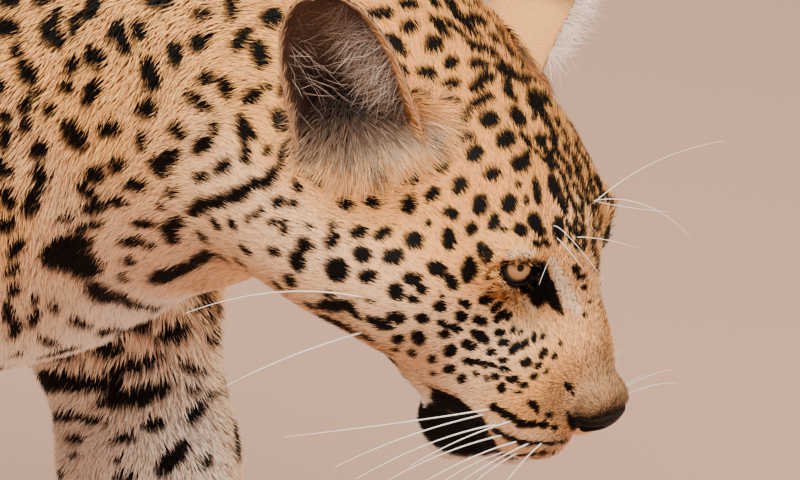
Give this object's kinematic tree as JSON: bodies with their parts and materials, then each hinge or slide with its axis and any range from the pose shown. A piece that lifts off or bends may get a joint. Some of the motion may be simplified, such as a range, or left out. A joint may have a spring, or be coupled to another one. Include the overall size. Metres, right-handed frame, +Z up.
{
  "type": "leopard",
  "caption": "Life-size standing leopard with lowered head, walking stance and raised tail tip, parted at neck, limbs, jaw and tail.",
  "frame": {"origin": "on the floor, under the middle of the whole animal's length and width", "axes": "+X forward, from tail to nose; +Y to the animal's left; +Z up"},
  "size_m": [1.782, 0.2874, 0.6586],
  "materials": {
    "spotted_fur": "short dense golden-tan fur with black spots and rosettes, paler below",
    "pale_fur": "short white to cream fur of chin and tail tip",
    "ear_fur": "thin short fur, dark grey behind, long pale hairs inside",
    "nose": "moist, finely grained black-brown bare skin",
    "eye": "wet clear cornea over a golden-brown iris with a small round pupil"
  },
  "bodies": {
    "root": {"head": "spotted_fur", "lower_jaw": "pale_fur", "nose_pad": "nose", "eye_right": "eye", "eye_left": "eye", "ear_right": "ear_fur", "ear_left": "ear_fur", "neck": "spotted_fur", "trunk": "spotted_fur", "upper_arm_left": "spotted_fur", "forearm_left": "spotted_fur", "fore_paw_left": "spotted_fur", "upper_arm_right": "spotted_fur", "forearm_right": "spotted_fur", "fore_paw_right": "spotted_fur", "thigh_left": "spotted_fur", "shank_left": "spotted_fur", "hind_paw_left": "spotted_fur", "thigh_right": "spotted_fur", "shank_right": "spotted_fur", "hind_paw_right": "spotted_fur", "tail_base": "spotted_fur", "tail_middle": "spotted_fur", "tail_tip": "pale_fur"}
  },
  "joints": []
}
